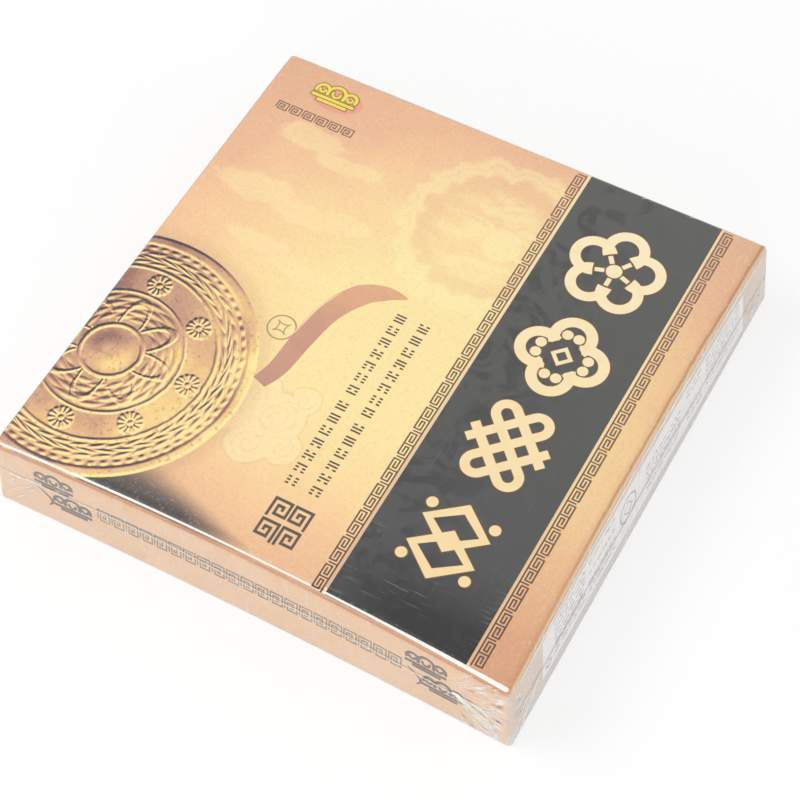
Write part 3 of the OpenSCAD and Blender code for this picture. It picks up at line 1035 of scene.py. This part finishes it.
# Rows of fine broken lines on the panel: where they start and end, and their heights
PANEL_ROWS = (
    (-61, -41, (23.6, 21, 18.4, 16, 13.8, 11.6, 9.4)), (-38.5, -21, (23.6, 18.4, 13.8, 11.6, 9.4)),
    (0.5, 24.5, (20.4, 17.8, 15.2, 12.6, 10.2)), (29, 40, (23.8, 21.2, 12, 9.4)),
    (43, 68, (23.8, 21.2, 18.6, 16, 13.4, 10.8)),
)


def settle_panel(sheet):
    """Lets the panel's ends lean with the flared corners, and its back end sit a little lower."""
    for v in sheet.mesh.verts:
        lean = v.co.x / 89 * 3 * (1 - v.co.y / 29)
        v.co.y -= (v.co.x - PANEL_Y[0]) * 0.012
        v.co.x += lean


def make_panel(skin):
    """The pale panel on the right wall, with rows of fine broken lines, a ring mark and a line under it."""
    (left, right), (low, high) = PANEL_Y, PANEL_Z
    panel = Sheet(WALL_FLOOR)
    panel.plate(((left + right) / 2, (low + high) / 2), (right - left, high - low), (90, 14))
    lines = Sheet(0.012, 0.006)
    draw = random.Random(7)
    for start, end, heights in PANEL_ROWS:
        for z in heights:
            y = start
            while y < end - 1:
                length = min(draw.uniform(1.4, 4.6), end - y)
                lines.bar((y, z), (y + length, z), draw.uniform(0.5, 0.8))
                if draw.random() < 0.5:
                    foot, head = (y + length * draw.random() for _ in range(2))
                    lines.bar((foot, z - 0.8), (head, z + 0.8), 0.4)
                lines.laid = 0
                y += length + draw.uniform(0.45, 1.1)
    lines.arc((-11.9, 17), 5.2, 0.9)
    lines.lozenge((-11.9, 17), 6.4, 6.4, 0.8)
    lines.lozenge((-65, 9.5), 4.6, 4.6, 0.9)
    lines.bar((left, low - 0.3), (right, low - 0.3), 0.4, 90)
    for sheet, name, ink in (
        (panel, "print_panel", ink_finish("panel_ink", "eeebe9", "e4e0dd")),
        (lines, "print_panel_rules", ink_finish("panel_rules", "b6b1ae", "a49e9a")),
    ):
        settle_panel(sheet)
        sheet.press(skin, WAYS["right"])
        sheet.piece(name, ink)


def make_wall_prints():
    """Prints on the lid's walls: scrolls and a meander row, and the panel on the right wall."""
    skin = skin_of("lid_paper_shell")
    grey = ink_finish("grey_ink", "6f6965", "827a74")
    faded = ink_finish("faded_grey_ink", "7f7670", "a4988c")
    for side in ("front", "back", "left"):
        for end, x in (("left", -65.2), ("right", 63.4)):
            figure = Sheet(WALL_FLOOR)
            stepped_clouds(figure, 21, 1.2)
            figure.moved((x, 15))
            figure.press(skin, WAYS[side])
            figure.piece(f"print_scroll_{side}_{end}", grey)
        sheet = Sheet(WALL_FLOOR)
        for k in range(21):
            sheet.stencil(MEANDER, (-53 + k * 5.05, 17.4), (0.46, 0.72))
        sheet.press(skin, WAYS[side])
        sheet.piece(f"print_meander_{side}", faded)
    make_panel(skin)


def seam_height(place):
    """Height in millimetres of the film's weld round the box, beside a place."""
    angle = math.atan2(place.y, place.x)
    return 14.65 - 2.6 * math.cos(angle) + 0.3 * math.sin(9 * angle)


def make_bead(skin, weld):
    """The film's weld bead, a low rib round the box."""
    bead = bmesh.new()
    made = bmesh.ops.create_circle(bead, cap_ends=False, segments=360, radius=1)
    for v in made["verts"]:
        out = Vector((v.co.x * 0.088, v.co.y * 0.09, 0)).normalized()
        hit, normal, _, _ = skin.ray_cast(out * 0.2 + UP * seam_height(out) * MM, -out)
        v.co = hit + normal * 0.02 * MM
    rise = bmesh.ops.extrude_edge_only(bead, edges=list(bead.edges))
    upper = [g for g in rise["geom"] if isinstance(g, bmesh.types.BMVert)]
    bmesh.ops.translate(bead, verts=upper, vec=(0, 0, 0.42 * MM))
    bmesh.ops.recalc_face_normals(bead, faces=bead.faces)
    bmesh.ops.solidify(bead, geom=list(bead.faces), thickness=-0.1 * MM)
    bmesh.ops.recalc_face_normals(bead, faces=bead.faces)
    make_piece("film_weld_bead", bead, weld, smooth=True)


def make_pleats(skin, weld):
    """Pleats that fan from the weld to each corner, white ridges as painted highlights: many and long at the
    front right, few elsewhere.
    """
    draw = random.Random(11)
    for side, half in (("front", 88), ("right", 90), ("back", 88), ("left", 90)):
        level = WAYS[side]
        along = UP.cross(level)
        pleats = Sheet(0, 0.01)
        for hand in (-1, 1):
            seam = seam_height(along * hand * half + level * 89)
            gathered = side == "front" and hand > 0
            count = 18 if gathered else 4
            for k in range(count):
                share = (k + draw.uniform(0.2, 0.8)) / count
                spread = 11 + 8 * (k % 3 == 0) if gathered else 16
                x = half - 17 + 9 * draw.random() ** 2
                start = Vector((x, seam + (share - 0.5) * draw.uniform(1, 4)))
                end = Vector((half - draw.uniform(2.6, 4.4), 1 + spread * share ** 1.2))
                route = []
                for part in (0, 0.2, 0.4, 0.6, 0.8, 1):
                    x, z = start.lerp(end, part) + Vector((draw.uniform(-0.4, 0.4), draw.uniform(-0.5, 0.5)))
                    route.append((hand * x, z))
                width = draw.uniform(0.12, 0.27)
                widths = [0.06, width, width * 0.55, width * 1.1, 0.08]
                pleats.ribbon(route, widths, 24, draw.uniform(0.1, 0.22))
                pleats.laid = 0
            if gathered:
                knot = ((-18.4, 1.2), (-16.8, 0.7), (-15.4, -0.4), (-13.6, -1))
                pleats.ribbon([(half + x, seam + z) for x, z in knot], [0.3, 1.5, 1.1, 0.2], 16, 0.25)
        pleats.press(skin, level)
        pleats.piece(f"film_pleats_{side}", weld, "shrink_film")


# Folds along the top edges: how far out the wall is, its bow, half the length, widths from end to end, and
# how many short hairs cross the fold
TOP_FOLDS = (
    ("front", 88.32, FRONT_BOW, 86, (0.85, 0.8, 0.75, 0.7, 0.65, 0.65, 0.8, 1.1, 1.45), 0),
    ("right", 88.85, RIGHT_BOW, 84, (0.2, 0.5, 0.3, 0.55, 0.35, 0.6, 0.3, 0.5, 0.2), 46),
    ("back", 88.32, 0, 84, (0.3, 0.5, 0.25, 0.5, 0.3), 8),
    ("left", 87.72, 0, 84, (0.3, 0.4, 0.25, 0.5, 0.3), 8),
)
FOLD_Z = 28.82
FOLD_TIP = math.radians(45)


def make_top_folds(skin, weld):
    """Long folds of the film where it turns over the top edges, white as a painted highlight along them."""
    draw = random.Random(5)
    for side, reach, bow, half, widths, hairs in TOP_FOLDS:
        fold = Sheet(0, 0.02)
        route = []
        for at in range(-half, half + 1, 4):
            inset = reach - bow * max(0, 1 - (at / (half + 0.5)) ** 2)
            route.append((at, math.cos(FOLD_TIP) * (FOLD_Z - inset)))
        fold.ribbon(route, widths, 90, 0.12)
        fold.disc(route[-1], widths[-1] / 2, 16)
        for _ in range(hairs):
            at, height = draw.choice(route[2:-2])
            start = (at + draw.uniform(-2, 2), height - draw.uniform(0.2, 1.1))
            end = (start[0] + draw.uniform(1.5, 5), start[1] + draw.uniform(0.5, 1.9))
            bend = ((start[0] + end[0]) / 2, (start[1] + end[1]) / 2 + draw.uniform(-0.2, 0.2))
            fold.ribbon([start, bend, end], [0.04, draw.uniform(0.1, 0.22), 0.04], 8, 0.08)
            fold.laid = 0
        fold.press(skin, WAYS[side], FOLD_TIP)
        fold.piece(f"film_{side}_fold", weld, "shrink_film")


def make_film_details():
    """What stands on the lid's film: its weld bead, pleats and folds."""
    skin = skin_of("lid_film_shell")
    weld = weld_finish()
    make_bead(skin, weld)
    make_pleats(skin, weld)
    make_top_folds(skin, weld)


# Generic mark of each rank of game piece, with its size and stroke
RANK_MARKS = {
    "general": (endless_knot, 15, 1.5), "advisor": (ruyi_quatrefoil, 17, 1.7),
    "elephant": (plum_blossom, 18, 1.8), "horse": (double_lozenge, 16, 1.6),
    "chariot": (wheel, 19, 1.6), "cannon": (rings, 19, 1.6), "soldier": (coin, 15, 1.6),
}
GROOVE_R = 16
GROOVE_W = 0.76
GROOVE_DEPTH = 0.4


def make_marks(side, finish):
    """Painted marks of one side's sixteen pieces: the ring in the groove and a sign for the rank."""
    whole = Sheet()
    for name in nodes:
        if not name.startswith(side + "_"):
            continue
        low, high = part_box(name)
        top = Vector(((low.x + high.x) / 2, (low.y + high.y) / 2, high.z)) / MM
        draw, size, stroke = RANK_MARKS[name.split("_")[1]]
        mark = Sheet(0.004, 0.012)
        draw(mark, size, stroke)
        mark.moved(top)
        ring = Sheet(0.01, 0.12)
        ring.arc((0, 0), GROOVE_R, GROOVE_W)
        ring.moved(top - UP * GROOVE_DEPTH)
        for sheet in (mark, ring):
            part = mesh_data("part", sheet.mesh)
            whole.mesh.from_mesh(part)
            bpy.data.meshes.remove(part)
    whole.piece(f"{side}_marks", finish, f"{side}_piece_wood", "base")


# CAD nodes

CORNER_R = 0.003
CORNER_POWER = 5


def crisp_shell(node, name, finish):
    """A merged copy of one of the lid's round-cornered shells with crisper upright corners, in its place."""
    mesh = bmesh.new()
    mesh.from_mesh(nodes[node].data)
    bmesh.ops.remove_doubles(mesh, verts=mesh.verts, dist=1e-6)
    walls = BVHTree.FromBMesh(mesh)
    for v in mesh.verts:
        if min(abs(v.co.x), abs(v.co.y)) < 0.08:
            continue
        across, ahead = Vector((math.copysign(1, v.co.x), 0, 0)), Vector((0, math.copysign(1, v.co.y), 0))
        height = UP * min(max(v.co.z, 0.0006), 0.0272)
        side = walls.ray_cast(across * 0.2 + ahead * 0.085 + height, -across)[0]
        end = walls.ray_cast(across * 0.084 + ahead * 0.2 + height, -ahead)[0]
        middle = Vector((side.x, end.y, 0)) - (across + ahead) * CORNER_R
        x, y = (v.co - middle).dot(across), (v.co - middle).dot(ahead)
        if x <= 0 or y <= 0:
            continue
        reach = math.hypot(x, y)
        grow = ((x / reach) ** CORNER_POWER + (y / reach) ** CORNER_POWER) ** (-1 / CORNER_POWER)
        v.co.x = middle.x + across.x * x * grow
        v.co.y = middle.y + ahead.y * y * grow
    shell = make_piece(name, mesh, finish, smooth=True)
    even = shell.modifiers.new("even", "WEIGHTED_NORMAL")
    even.weight = 100
    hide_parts(node)


def dress(finish, *names):
    """Gives CAD nodes their finish."""
    for name in names:
        nodes[name].data.materials.clear()
        nodes[name].data.materials.append(finish)


def dress_frame():
    """Finishes for all CAD nodes, and the two crisper shells."""
    crisp_shell("lid_wrap", "lid_paper_shell", lid_paper_finish())
    crisp_shell("film_lid", "lid_film_shell", film_finish())
    dress(base_film_finish(), "film_base")
    dress(plain_paper_finish("base_paper", "d9b892", "e2c5a2"), "base_wrap")
    dress(plain_paper_finish("corner_tape", "d8c6a8", "c9b391"), "base_corner_stays", "lid_corner_stays")
    dress(board_finish(), "base_board", "lid_board")
    dress(plain_paper_finish("playing_board", "f0e6cf", "e6d8ba"), "folded_board")
    dress(tray_finish(), "tray")
    for side, colours in (("black", ("dcb27c", "cf9f66", "b1804c")), ("red", ("e8c594", "deb57e", "c39560"))):
        wood = wood_finish(f"{side}_piece_wood", *colours)
        dress(wood, *(name for name in nodes if name.startswith(side + "_")))


def make_stage():
    """A plain white floor and a white surround."""
    mesh = bmesh.new()
    bmesh.ops.create_grid(mesh, x_segments=2, y_segments=2, size=3)
    data = mesh_data("floor", mesh)
    data.materials.append(floor_finish())
    floor = new_object("floor", data)
    sky = Finish("surround", bpy.data.worlds.new("surround"))
    dim = sky.node("Background", {}, (1, 1, 1, 1), 0.62)
    white = sky.node("Background", {}, (1, 1, 1, 1), 1)
    bpy.context.scene.world = sky.close(sky.node("MixShader", {}, sky.seen(), dim, white), "World")


make_camera()
make_stage()
soft_lamp("key", (-0.9, -0.35, 1.15), (0, 0, 0), (0.9, 0.7), 8)
soft_lamp("front_fill", (0.3, -1.2, 0.5), (0, 0, 0.02), (1, 0.5), 4)
soft_lamp("right_fill", (1.3, 0.1, 0.5), (0, 0, 0.02), (0.9, 0.5), 2.5)
soft_lamp("back_sheen", (-0.45, 1.5, 0.75), (0, 0, 0.02), (1.6, 0.5), 1.6)
dress_frame()
make_top_prints()
make_wall_prints()
make_film_details()
make_marks("black", paint_finish("black_paint", "1f1d1c", "2b2826"))
make_marks("red", paint_finish("red_paint", "b3261c", "8f1c15"))

bpy.context.scene.view_settings.view_transform = "Standard"
